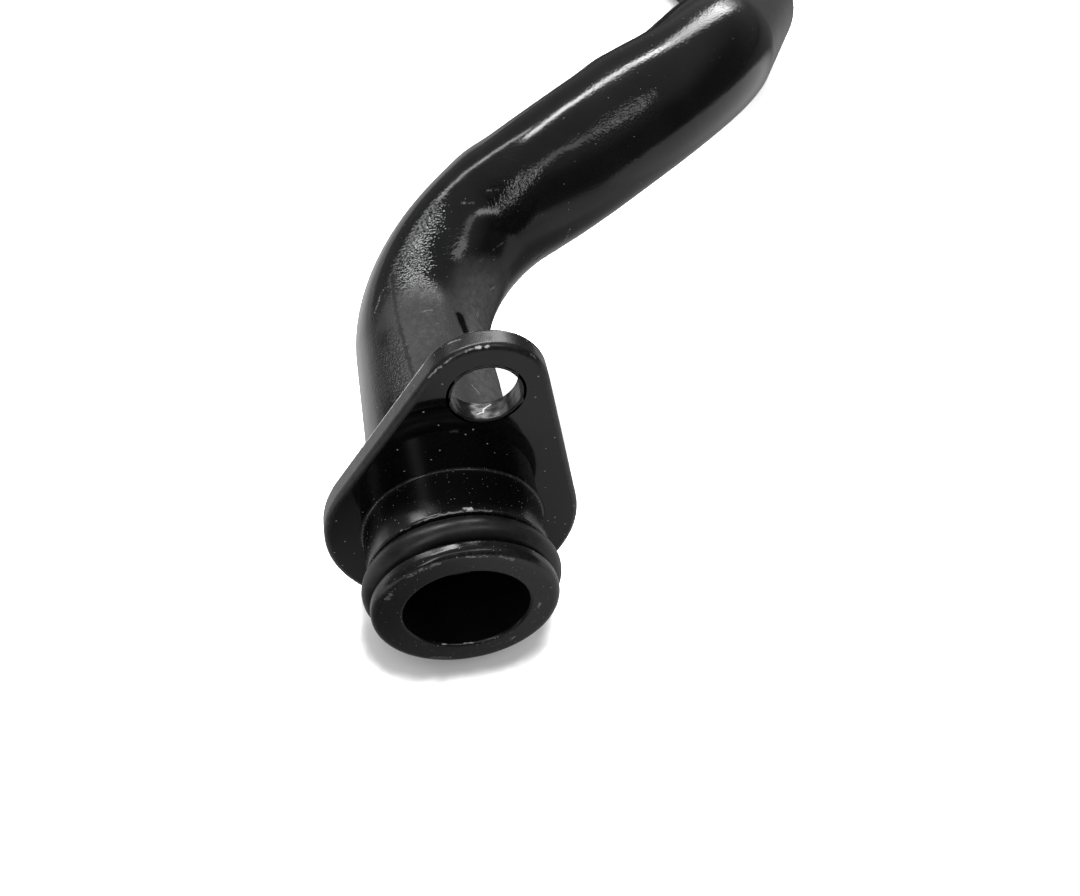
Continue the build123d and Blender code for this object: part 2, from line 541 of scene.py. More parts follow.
def new_piece(name: str, vertices: np.ndarray, faces: list, flat: set[int] | None = None) -> Object:
    """Make an object from vertices and faces, with its normals outwards.

    Args:
        name: the piece's name.
        vertices: one row of three numbers each, in metres.
        faces: vertex numbers of each face.
        flat: the numbers of the faces that are shaded flat.

    Returns:
        The object, linked to the scene.
    """
    mesh = bpy.data.meshes.new(name)
    mesh.from_pydata([tuple(v) for v in vertices], [], faces)
    shade = np.ones(len(faces), bool)
    shade[list(flat or ())] = False
    mesh.polygons.foreach_set("use_smooth", shade)
    work = bmesh.new()
    work.from_mesh(mesh)
    bmesh.ops.recalc_face_normals(work, faces=work.faces)
    work.to_mesh(mesh)
    work.free()
    return link_object(name, mesh)


def set_attribute(piece: Object, name: str, values: np.ndarray) -> None:
    """Store a number on each vertex for the piece's material.

    Args:
        piece: the object.
        name: "edge" for how near a worn edge is, and on the spigot where pale chips paint highlight lines,
            "inner" for the walls of holes, where paint pools, or
            "grain", "matt" or "lump" for how unevenly the paint went on.
        values: a number for each vertex.
    """
    attribute = piece.data.attributes.new(name, "FLOAT", "POINT")
    attribute.data.foreach_set("value", values.astype(np.float32))


def spray(piece: Object, patches: tuple[SprayPatch, ...]) -> None:
    """Store on each vertex how unevenly the paint went on there.

    Args:
        piece: the object.
        patches: the uneven places.
    """
    full, gone = 0.25, 1.1
    places = np.array([vertex.co for vertex in piece.data.vertices])
    amounts = {part: np.zeros(len(places)) for part in ("grain", "matt", "lump")}
    for patch in patches:
        start, line = np.array(patch.start), np.array(patch.end) - np.array(patch.start)
        share = np.clip((places - start) @ line / (line @ line), 0.0, 1.0)
        gap = np.linalg.norm(places - start - share[:, None] * line, axis=1)
        level = np.clip((gone - gap / patch.radius) / (gone - full), 0.0, 1.0)
        for part, amount in amounts.items():
            amount += getattr(patch, part) * level**2 * (3 - 2 * level)
    for part, amount in amounts.items():
        set_attribute(piece, part, amount)


def rounded_outline(corners: list[Triple], steps: int = 6) -> list[Pair]:
    """Round the corners of a closed outline, with extra points on its flats.

    The points close to each arc keep the flats flat, and those 1 mm away keep the wear at the edges.

    Args:
        corners: x, y and rounding radius of each corner.
        steps: faces in each rounding.

    Returns:
        The outline's points.
    """
    arc_margin, margin_share, long_flat = 0.08 * MM, 0.2, 2.2 * MM
    points: list[Pair] = []
    count = len(corners)
    for index, (x, y, radius) in enumerate(corners):
        here = np.array((x, y))
        before = np.array(corners[index - 1][:2]) - here
        after = np.array(corners[(index + 1) % count][:2]) - here
        room = margin_share * min(np.linalg.norm(before), np.linalg.norm(after))
        first, last = before / np.linalg.norm(before), after / np.linalg.norm(after)
        half = math.acos(float(np.clip(first @ last, -1, 1))) / 2
        cut = radius / math.tan(half)
        middle = here + (first + last) / np.linalg.norm(first + last) * radius / math.sin(half)
        start, end = here + first * cut, here + last * cut
        margin = min(arc_margin, room)
        points.append(tuple(start + first * margin))
        arm, goal = start - middle, end - middle
        turn = math.atan2(arm[0] * goal[1] - arm[1] * goal[0], float(arm @ goal))
        for step in range(steps + 1):
            angle = turn * step / steps
            c, s = math.cos(angle), math.sin(angle)
            points.append((middle[0] + c * arm[0] - s * arm[1], middle[1] + s * arm[0] + c * arm[1]))
        points.append(tuple(end + last * margin))
    dense: list[Pair] = []
    for here, after in zip(map(np.array, points), map(np.array, points[1:] + points[:1])):
        dense.append(tuple(here))
        gap = float(np.linalg.norm(after - here))
        if gap > long_flat:
            dense += [tuple(here + (after - here) * share) for share in (MM / gap, 1 - MM / gap)]
    return dense


def ring_faces(rings: int, count: int) -> list[list[int]]:
    """Join closed rings of points, each to the next and the last to the first.

    Args:
        rings: how many rings there are.
        count: the points of each ring.

    Returns:
        The vertex numbers of each face.
    """
    numbers = np.arange(rings * count).reshape(rings, count)
    after = np.roll(numbers, -1, axis=0)
    corners = [numbers, np.roll(numbers, -1, axis=1), np.roll(after, -1, axis=1), after]
    return np.stack(corners, axis=-1).reshape(-1, 4).tolist()


def lathe(name: str, outline: list[Pair], segments: int) -> Object:
    """Turn a closed outline of radius and place along Y into a ring about the Y axis.

    Args:
        name: the piece's name.
        outline: radius and Y of each point.
        segments: faces round the ring.

    Returns:
        The object.
    """
    profile = np.array(outline)
    angles = np.linspace(0.0, 2 * math.pi, segments, endpoint=False)
    rings = np.stack(
        [
            np.outer(np.sin(angles), profile[:, 0]),
            np.tile(profile[:, 1], (segments, 1)),
            np.outer(np.cos(angles), profile[:, 0]),
        ],
        axis=-1,
    )
    return new_piece(name, rings.reshape(-1, 3), ring_faces(segments, len(profile)))


def geometry_tree(
    name: str, inputs: dict[str, tuple[str, object]]
) -> tuple[NodeTree, NodeSheet, bpy_prop_collection]:
    """Start a Geometry Nodes tree with named inputs.

    Args:
        name: the tree's name.
        inputs: input name to its socket type and default.

    Returns:
        The tree, its sheet and the sockets that bring its inputs.
    """
    tree = bpy.data.node_groups.new(name, "GeometryNodeTree")
    tree.interface.new_socket("Geometry", in_out="INPUT", socket_type="NodeSocketGeometry")
    for label, (kind, default) in inputs.items():
        socket = tree.interface.new_socket(label, in_out="INPUT", socket_type=kind)
        if default is not None:
            socket.default_value = default
    tree.interface.new_socket("Geometry", in_out="OUTPUT", socket_type="NodeSocketGeometry")
    sheet = NodeSheet(tree)
    return tree, sheet, sheet.add("NodeGroupInput").outputs


def end_tree(sheet: NodeSheet, geometry: NodeSocket, finish: NodeSocket) -> None:
    """End a Geometry Nodes tree: make what it holds real and give it its material.

    Args:
        sheet: the tree's sheet.
        geometry: what the tree has made.
        finish: the input with the material.
    """
    real = sheet.add("GeometryNodeRealizeInstances", {"Geometry": geometry})
    done = sheet.add("GeometryNodeSetMaterial", {"Geometry": real.outputs[0], "Material": finish})
    sheet.add("NodeGroupOutput", {"Geometry": done.outputs[0]})


def apply_tree(piece: Object, tree: NodeTree, values: dict[str, object]) -> None:
    """Run a Geometry Nodes tree on a piece and keep the result as a plain mesh.

    Args:
        piece: the object.
        tree: the tree to run.
        values: input name to its value.
    """
    modifier = piece.modifiers.new(tree.name, "NODES")
    modifier.node_group = tree
    for item in tree.interface.items_tree:
        if item.item_type == "SOCKET" and item.in_out == "INPUT" and item.name in values:
            modifier[item.identifier] = values[item.name]
    graph = bpy.context.evaluated_depsgraph_get()
    graph.update()
    mesh = bpy.data.meshes.new_from_object(piece.evaluated_get(graph), depsgraph=graph)
    piece.modifiers.remove(modifier)
    piece.data = mesh
    mesh.name = piece.name


def relief_tree() -> NodeTree:
    """Sink a surface by slow waves, as thick paint and a hand-brazed seam have.

    Returns:
        The Geometry Nodes tree.
    """
    inputs = {
        "Depth": ("NodeSocketFloat", 0.00005),
        "Wave Size": ("NodeSocketFloat", 0.006),
        "Seed": ("NodeSocketFloat", 3.0),
        "Finish": ("NodeSocketMaterial", None),
    }
    tree, sheet, given = geometry_tree("surface_relief", inputs)
    values = {
        "Vector": sheet.add("GeometryNodeInputPosition").outputs[0],
        "W": given["Seed"],
        "Scale": sheet.math("DIVIDE", 1.0, given["Wave Size"]),
        "Detail": 1.5,
    }
    waves = sheet.add("ShaderNodeTexNoise", values, noise_dimensions="4D").outputs[0]
    depth = sheet.math("MULTIPLY", sheet.math("MULTIPLY", waves, -1.0), given["Depth"])
    offset = sheet.scaled(sheet.add("GeometryNodeInputNormal").outputs[0], depth)
    moved = sheet.add("GeometryNodeSetPosition", {"Geometry": given["Geometry"], "Offset": offset})
    end_tree(sheet, moved.outputs[0], given["Finish"])
    return tree


def ring_tree() -> NodeTree:
    """A round ring of round section about the Y axis.

    Returns:
        The Geometry Nodes tree.
    """
    inputs = {
        "Ring Radius": ("NodeSocketFloat", 0.0119),
        "Section Radius": ("NodeSocketFloat", 0.00175),
        "Place": ("NodeSocketVector", (0.0, 0.0, 0.0)),
        "Finish": ("NodeSocketMaterial", None),
    }
    ring_steps, section_steps = 256, 48
    tree, sheet, given = geometry_tree("moulded_ring", inputs)

    def circle(radius: str, steps: int) -> NodeSocket:
        """A circle with one of the given radii."""
        values = {"Resolution": steps, "Radius": given[radius]}
        return sheet.add("GeometryNodeCurvePrimitiveCircle", values).outputs[0]

    curves = {
        "Curve": circle("Ring Radius", ring_steps),
        "Profile Curve": circle("Section Radius", section_steps),
    }
    ring = sheet.add("GeometryNodeCurveToMesh", curves).outputs[0]
    place = {"Geometry": ring, "Translation": given["Place"], "Rotation": (math.pi / 2, 0.0, 0.0)}
    turned = sheet.add("GeometryNodeTransform", place).outputs[0]
    smooth = sheet.add("GeometryNodeSetShadeSmooth", {"Geometry": turned, "Shade Smooth": True})
    end_tree(sheet, smooth.outputs[0], given["Finish"])
    return tree


def hand_over(piece: Object, node: str, material: Material) -> None:
    """Dress a piece, set it on the pipe's body and let it stand for its node.

    Args:
        piece: the finished object.
        node: the node that it replaces.
        material: the piece's finish.
    """
    piece.data.materials.clear()
    piece.data.materials.append(material)
    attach(piece, BODY)
    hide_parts(node)
    log.info("%s: %d faces for node %s", piece.name, len(piece.data.polygons), node)


@dataclass(frozen=True)
class WallForm:
    """A gentle hollow or swelling that the bender left in the tube's wall."""

    along: float
    facing: Triple
    height: float
    half_length: float
    half_angle: float


@dataclass
class BentTube:
    """The steel tube: three bends, a rolled bead, and the marks of bending in its wall."""

    radius: float = 11.0 * MM
    wall: float = 1.5 * MM
    start: float = -2.0 * MM
    first_run: float = 58.2 * MM
    second_run: float = 57.5 * MM
    second_run_rise: float = math.radians(35.9)
    third_run_heading: float = math.radians(26.5)
    third_run_fall: float = math.radians(19.8)
    last_run: float = 100.0 * MM
    last_run_heading: float = math.radians(-12.0)
    bend_radii: Triple = (22.0 * MM, 38.0 * MM, 22.0 * MM)
    bead_height: float = 0.8 * MM
    bead_width: float = 5.0 * MM
    bead_setback: float = 8.0 * MM
    end_rounding: float = 0.4 * MM
    end_steps: int = 12
    station_gap: float = 0.8 * MM
    inner_gap: float = 5.0 * MM
    segments: int = 144
    wave_size: float = 7.0 * MM
    wave_depth: float = 0.03 * MM
    forms: tuple[WallForm, ...] = ()

    def corners(self) -> list[Vector]:
        """The corners of the centre line, from its start to its free end."""
        first = Vector((0.0, self.first_run, 0.0))
        rise = Vector((math.cos(self.second_run_rise), 0.0, math.sin(self.second_run_rise)))
        second = first + rise * self.second_run
        drop = second.z - (FLOOR_LEVEL + self.radius)
        reach = drop / math.tan(self.third_run_fall)
        heading = Vector((math.sin(self.third_run_heading), math.cos(self.third_run_heading), 0.0))
        third = second + heading * reach - Vector((0.0, 0.0, drop))
        slope = self.bead_height / (self.last_run - self.bead_setback)
        last = Vector((math.sin(self.last_run_heading), math.cos(self.last_run_heading), slope)).normalized()
        return [Vector((0.0, self.start, 0.0)), first, second, third, third + last * self.last_run]

    def centre_line(self, gap: float) -> tuple[np.ndarray, np.ndarray, np.ndarray]:
        """Follow the straight runs and the arcs between them.

        Args:
            gap: the distance between stations.

        Returns:
            Positions, directions and distances along the line.
        """
        corners = self.corners()
        places: list[Vector] = []
        headings: list[Vector] = []
        here = corners[0]

        def straight(end: Vector, heading: Vector) -> None:
            """Add the stations of a straight run, without its end."""
            count = max(1, round((end - here).length / gap))
            for index in range(count):
                places.append(here.lerp(end, index / count))
                headings.append(heading)

        for index, bend in enumerate(self.bend_radii):
            corner = corners[index + 1]
            arriving = (corner - corners[index]).normalized()
            leaving = (corners[index + 2] - corner).normalized()
            turn = arriving.angle(leaving)
            cut = bend * math.tan(turn / 2)
            straight(corner - arriving * cut, arriving)
            middle = corner + (leaving - arriving).normalized() * (bend / math.cos(turn / 2))
            arm = (corner - arriving * cut) - middle
            count = max(4, round(bend * turn / gap))
            for step in range(count):
                angle = turn * step / count
                places.append(middle + arm * math.cos(angle) + arriving * bend * math.sin(angle))
                headings.append(arriving * math.cos(angle) - arm.normalized() * math.sin(angle))
            here = corner + leaving * cut
        straight(corners[-1], (corners[-1] - corners[-2]).normalized())
        places.append(corners[-1])
        headings.append(headings[-1])
        line = np.array(places)
        steps = np.linalg.norm(np.diff(line, axis=0), axis=1)
        return line, np.array(headings), np.concatenate([[0.0], np.cumsum(steps)])

    def frames(self, headings: np.ndarray) -> tuple[np.ndarray, np.ndarray]:
        """Carry an upright pair of cross directions along the line without twist.

        Args:
            headings: the direction at each station.

        Returns:
            The upward and the sideways direction at each station.
        """
        ups = [np.array((0.0, 0.0, 1.0))]
        for heading in headings[1:]:
            up = ups[-1] - heading * float(ups[-1] @ heading)
            ups.append(up / np.linalg.norm(up))
        up = np.array(ups)
        return up, np.cross(headings, up)

    def swell(self, along: np.ndarray, radial: np.ndarray) -> np.ndarray:
        """How far the wall stands proud of a true tube.

        Args:
            along: distance along the line of each station.
            radial: outward directions, by station and segment.

        Returns:
            The height for each station and segment.
        """
        total = np.zeros(radial.shape[:2])
        for form in self.forms:
            facing = np.array(form.facing) / np.linalg.norm(form.facing)
            angle = np.arccos(np.clip(radial @ facing, -1.0, 1.0))
            length_part = np.exp(-(((along - form.along) / form.half_length) ** 2))[:, None]
            total += form.height * length_part * np.exp(-((angle / form.half_angle) ** 2))
        return total

    def bead(self, along: np.ndarray, length: float) -> np.ndarray:
        """The height of the rolled bead at each station."""
        centre = length - self.bead_setback
        half = self.bead_width / 2
        circle = (half**2 + self.bead_height**2) / (2 * self.bead_height)
        reach = np.clip(np.abs(along - centre), 0.0, half)
        return np.sqrt(circle**2 - reach**2) - (circle - self.bead_height)

    def rings(self, gap: float, radius: float, angles: np.ndarray) -> tuple[np.ndarray, np.ndarray]:
        """Place one wall's rings of points.

        Args:
            gap: the distance between rings.
            radius: the wall's radius.
            angles: the angles of the points of each ring.

        Returns:
            The points by ring, and the distances of the rings along the line.
        """
        line, headings, along = self.centre_line(gap)
        up, side = self.frames(headings)
        radial = np.cos(angles)[None, :, None] * up[:, None] + np.sin(angles)[None, :, None] * side[:, None]
        reach = radius + self.bead(along, along[-1])[:, None] + self.swell(along, radial)
        return line[:, None] + radial * reach[..., None], along

    def build(self, relief: NodeTree, finish: Material) -> Object:
        """Make the tube with its outer wall, its rounded free end and its bore.

        Args:
            relief: the tree that sinks a surface by waves.
            finish: the piece's material.

        Returns:
            The object.
        """
        angles = np.linspace(0.0, 2 * math.pi, self.segments, endpoint=False)
        outer, _ = self.rings(self.station_gap, self.radius, angles)
        inner, _ = self.rings(self.inner_gap, self.radius - self.wall, angles)
        corners = self.corners()
        heading = np.array((corners[-1] - corners[-2]).normalized())
        end = np.array(corners[-1])
        outward = outer[-1] - end
        outward /= np.linalg.norm(outward, axis=1)[:, None]
        rounding = []
        middle = self.radius - self.wall / 2
        half = self.wall / 2 - self.end_rounding
        for step in range(self.end_steps + 1):
            turn = math.pi * step / self.end_steps
            shift = self.end_rounding * math.cos(turn) + (half if turn < math.pi / 2 else -half)
            back = self.end_rounding * (1 - math.sin(turn))
            rounding.append(end - heading * back + outward * (middle + shift))
        stations = np.concatenate([outer[:-1], np.array(rounding), inner[-2::-1]])
        faces = ring_faces(len(stations), self.segments)
        piece = new_piece("pipe_tube_painted", stations.reshape(-1, 3), faces)
        values = {"Depth": self.wave_depth, "Wave Size": self.wave_size, "Finish": finish}
        apply_tree(piece, relief, values)
        return piece


@dataclass
class FlangePlate:
    """The stamped plate: a large and a small round end with common tangents, and two holes."""

    radius: float = 18.0 * MM
    thickness: float = 3.2 * MM
    hole_offset: float = 26.5 * MM
    hole_roll: float = math.radians(10.0)
    ear_radius: float = 8.2 * MM
    hole_radius: float = 4.5 * MM
    passage_radius: float = 12.8 * MM
    front_rounding: float = 0.8 * MM
    back_rounding: float = 0.4 * MM
    hole_rounding: float = 0.25 * MM
    passage_rounding: float = 0.05 * MM
    rounding_steps: int = 6
    rim_width: float = 0.35 * MM
    rim_margin: float = 0.02 * MM
    wall_margin: float = 0.1 * MM
    point_gap: float = 0.45 * MM
    hole_point_gap: float = 0.315 * MM

    def hole_centre(self) -> np.ndarray:
        """The bolt hole's centre in the plate's own plane."""
        return self.hole_offset * np.array((math.sin(self.hole_roll), math.cos(self.hole_roll)))

    def outline(self) -> tuple[np.ndarray, np.ndarray]:
        """Points round the plate and the outward direction at each.

        Returns:
            The points and their directions, in the plate's plane.
        """
        centre = self.hole_centre()
        lean = math.acos((self.radius - self.ear_radius) / self.hole_offset)
        ear = math.pi / 2 - self.hole_roll
        points, normals = [], []

        def arc(middle: np.ndarray, radius: float, start: float, end: float) -> None:
            """Add the points of a round end."""
            count = round(radius * (end - start) / self.point_gap)
            for angle in np.linspace(start, end, count + 1):
                normal = np.array((math.cos(angle), math.sin(angle)))
                points.append(middle + radius * normal)
                normals.append(normal)

        def side(start: np.ndarray, end: np.ndarray, normal: np.ndarray) -> None:
            """Add the inner points of a straight side."""
            count = round(float(np.linalg.norm(end - start)) / self.point_gap)
            for index in range(1, count):
                points.append(start + (end - start) * index / count)
                normals.append(normal)

        arc(centre, self.ear_radius, ear - lean, ear + lean)
        leaving, normal = points[-1], normals[-1]
        side(leaving, self.radius * normal, normal)
        arc(np.zeros(2), self.radius, ear + lean, ear - lean + 2 * math.pi)
        side(points[-1], points[0], normals[-1])
        return np.array(points), np.array(normals)

    def build(self) -> Object:
        """Make the plate with rounded rims, hole walls and flat faces.

        Returns:
            The object.
        """
        points, normals = self.outline()
        vertices: list[np.ndarray] = []
        edge_values: list[np.ndarray] = []
        inner_values: list[np.ndarray] = []
        faces: list = []
        loops: list[tuple[int, int, int]] = []
        flat: set[int] = set()

        def stack(
            centre: np.ndarray, directions: np.ndarray, sign: float,
            front: float, back: float, wear: float, inner: float,
        ) -> None:
            """Add the rounded wall of one loop, with a narrow flat rim on the front and back faces.

            Args:
                centre: the loop's points in the plate's plane.
                directions: the direction away from the loop's middle at each point.
                sign: 1 where the plate is inside the loop, and -1 round a hole.
                front: the front edge's rounding.
                back: the back edge's rounding.
                wear: how worn the loop's edges are.
                inner: how much paint pooled on the wall.
            """
            turns = [math.pi / 2 * step / self.rounding_steps for step in range(self.rounding_steps + 1)]
            full = self.thickness
            levels = [(front + self.rim_width, 0.0, 0.0), (front + self.rim_margin, 0.0, 0.25)]
            levels += [(front * (1 - math.sin(t)), front * (1 - math.cos(t)), 1.0) for t in turns]
            levels += [(0.0, front + self.wall_margin, 0.8), (0.0, full - back - self.wall_margin, 0.8)]
            levels += [(back * (1 - math.cos(t)), full - back * (1 - math.sin(t)), 1.0) for t in turns]
            levels += [(back + self.rim_margin, full, 0.25), (back + self.rim_width, full, 0.0)]
            first = sum(len(block) for block in vertices)
            count = len(centre)
            for inset, depth, worn in levels:
                ring = centre - sign * inset * directions
                vertices.append(np.stack([ring[:, 0], np.full(count, depth), ring[:, 1]], axis=-1))
                edge_values.append(np.full(count, worn * wear))
                inner_values.append(np.full(count, inner if worn > 0.5 else 0.0))
            for level in range(len(levels) - 1):
                if level in (0, 1, len(levels) - 3, len(levels) - 2):
                    flat.update(range(len(faces), len(faces) + count))
                for index in range(count):
                    follow = (index + 1) % count
                    low, high = first + level * count, first + (level + 1) * count
                    faces.append((low + index, low + follow, high + follow, high + index))
            loops.append((first, first + (len(levels) - 1) * count, count))

        def circle(centre: np.ndarray, radius: float, gap: float) -> tuple[np.ndarray, np.ndarray]:
            """Points round a hole and their outward directions."""
            angles = np.linspace(0.0, 2 * math.pi, round(2 * math.pi * radius / gap), endpoint=False)
            directions = np.stack([np.cos(angles), np.sin(angles)], axis=-1)
            return centre + radius * directions, directions

        stack(points, normals, 1.0, self.front_rounding, self.back_rounding, wear=1.0, inner=0.1)
        hole, hole_out = circle(self.hole_centre(), self.hole_radius, self.hole_point_gap)
        stack(hole, hole_out, -1.0, self.hole_rounding, self.hole_rounding, wear=0.3, inner=1.0)
        passage, passage_out = circle(np.zeros(2), self.passage_radius, self.point_gap)
        stack(passage, passage_out, -1.0, self.passage_rounding, self.hole_rounding, wear=0.0, inner=0.0)

        every = np.concatenate(vertices)
        for side_face in (0, 1):
            numbers = np.concatenate([loop[side_face] + np.arange(loop[2]) for loop in loops])
            rims, begin = [], 0
            for _, _, count in loops:
                rims += [(begin + k, begin + (k + 1) % count) for k in range(count)]
                begin += count
            plane = [Vector((v[0] / MM, v[2] / MM)) for v in every[numbers]]
            inside_only, merge_gap = 1, 1e-6
            _, _, triangles, _, _, _ = delaunay_2d_cdt(plane, rims, [], inside_only, merge_gap)
            for triangle in triangles:
                middle = every[numbers[list(triangle)]].mean(axis=0)[[0, 2]]
                if np.linalg.norm(middle) < self.passage_radius:
                    continue
                if np.linalg.norm(middle - self.hole_centre()) < self.hole_radius:
                    continue
                flat.add(len(faces))
                faces.append(tuple(int(numbers[k]) for k in triangle))
        piece = new_piece("mounting_flange_painted", every, faces, flat)
        set_attribute(piece, "edge", np.concatenate(edge_values))
        set_attribute(piece, "inner", np.concatenate(inner_values))
        return piece


@dataclass
class TurnedSpigot:
    """The turned ring: lip, O-ring groove and shoulder in front, tube socket behind."""

    radius: float = 12.75 * MM
    projection: float = 14.0 * MM
    bore: float = 8.5 * MM
    lip: float = 2.0 * MM
    groove_width: float = 4.7 * MM
    groove_radius: float = 10.1 * MM
    back: float = 3.2 * MM
    socket_radius: float = 11.05 * MM
    socket_depth: float = 5.2 * MM
    lip_rounding: float = 1.0 * MM
    bore_rounding: float = 0.5 * MM
    lip_back_rounding: float = 0.3 * MM
    shoulder_rounding: float = 0.3 * MM
    small_rounding: float = 0.12 * MM
    seam_rounding: float = 0.28 * MM
    seam_width: float = 0.4 * MM
    seam_lift: float = 0.03 * MM
    seam_edge: float = 0.008 * MM
    seam_skin: float = 0.004 * MM
    segments: int = 256

    def build(self) -> Object:
        """Turn the spigot.

        Returns:
            The object.
        """
        mouth = -self.projection
        lip_back = mouth + self.lip
        shoulder = lip_back + self.groove_width
        socket_floor = self.back - self.socket_depth
        small, skin = self.small_rounding, self.seam_skin
        seam_radius = self.radius + self.seam_width
        outline = rounded_outline(
            [
                (self.bore, mouth, self.bore_rounding),
                (self.radius, mouth, self.lip_rounding),
                (self.radius, lip_back, self.lip_back_rounding),
                (self.groove_radius, lip_back, small),
                (self.groove_radius, shoulder, small),
                (self.radius, shoulder, self.shoulder_rounding),
                (self.radius, -self.seam_lift, self.seam_rounding),
                (seam_radius, -self.seam_lift, self.seam_edge),
                (seam_radius, -skin, self.seam_edge),
                (self.radius, -skin, skin),
                (self.radius, self.back, small),
                (self.socket_radius, self.back, small),
                (self.socket_radius, socket_floor, small),
                (self.bore, socket_floor, small),
            ]
        )
        piece = lathe("spigot_painted", outline, self.segments)
        places = np.array([vertex.co for vertex in piece.data.vertices])
        along = places[:, 1]
        reach = np.hypot(places[:, 0], places[:, 2])

        def near(radius: float, place: float, width: float, length: float) -> np.ndarray:
            """How near each vertex is to a turned edge, from 0 to 1."""
            return np.exp(-(((reach - radius) / width) ** 2)) * np.exp(-(((along - place) / length) ** 2))

        worn = 0.7 * near(self.radius - 0.45 * MM, mouth, 0.5 * MM, 0.9 * MM)
        worn += 0.7 * near(self.radius, lip_back, 0.4 * MM, 0.4 * MM)
        # The shoulder and the seam at the plate wear most: their pale chips are partly worn paint and partly
        # painted highlight lines along these edges.
        worn += 0.9 * near(self.radius, shoulder, 0.5 * MM, 0.5 * MM)
        worn += 0.9 * near(self.radius + 0.1 * MM, -0.1 * MM, 0.25 * MM, 0.25 * MM)
        set_attribute(piece, "edge", np.clip(worn, 0.0, 1.0))
        inner = np.where(along < mouth + 0.3 * MM, 0.7, 0.0)
        inner[(reach < self.bore + 0.1 * MM) & (along > mouth + 0.4 * MM)] = 1.0
        set_attribute(piece, "inner", inner)
        return piece


@dataclass
class BrazeFillet:
    """The brazed seam behind the flange."""

    radius: float = 11.0 * MM
    back: float = 3.2 * MM
    leg: float = 2.6 * MM
    hollow: float = 0.35 * MM
    steps: int = 10
    segments: int = 200
    lump_size: float = 3.0 * MM
    lump_depth: float = 0.12 * MM

    def build(self, relief: NodeTree, finish: Material) -> Object:
        """Turn the fillet's section and give it the unevenness of a seam.

        Args:
            relief: the tree that sinks a surface by waves.
            finish: the piece's material.

        Returns:
            The object.
        """
        top = self.back + self.leg
        outline = [(self.radius, self.back), (self.radius, top)]
        for step in range(1, self.steps + 1):
            share = step / self.steps
            sag = self.hollow * 4 * share * (1 - share) / math.sqrt(2)
            outline.append((self.radius + self.leg * share - sag, top - self.leg * share - sag))
        piece = lathe("braze_ring_painted", outline, self.segments)
        values = {"Depth": self.lump_depth, "Wave Size": self.lump_size, "Finish": finish}
        apply_tree(piece, relief, values)
        return piece


@dataclass
class RubberRing:
    """The O-ring, seated on the floor of the groove."""

    groove_radius: float = 10.1 * MM
    seat_clearance: float = 0.05 * MM
    section: float = 3.5 * MM
    place: float = -9.65 * MM

    def build(self, finish: Material) -> Object:
        """Mould the ring.

        Args:
            finish: the ring's material.

        Returns:
            The object.
        """
        piece = link_object("o_ring_rubber", bpy.data.meshes.new("o_ring_rubber"))
        values = {
            "Ring Radius": self.groove_radius + self.seat_clearance + self.section / 2,
            "Section Radius": self.section / 2,
            "Place": (0.0, self.place, 0.0),
            "Finish": finish,
        }
        apply_tree(piece, ring_tree(), values)
        return piece


@dataclass(frozen=True)
class Strip:
    """A straight strip lamp, seen from the pipe between two directions.

    A direction is degrees from +Y towards +X, and degrees above the floor.
    """

    name: str
    start: Pair
    end: Pair
    width: float
    radiance: float


@dataclass(frozen=True)
class FloorShade:
    """A round patch of painted shade and light on the floor: one level near its centre and another farther
    away.
    """

    centre: Pair
    near: float
    far: float
    inside: float
    outside: float


def direction(turn: float, lift: float) -> Vector:
    """The unit vector of a direction given in degrees."""
    turn, lift = math.radians(turn), math.radians(lift)
    level = math.cos(lift)
    return Vector((math.sin(turn) * level, math.cos(turn) * level, math.sin(lift)))


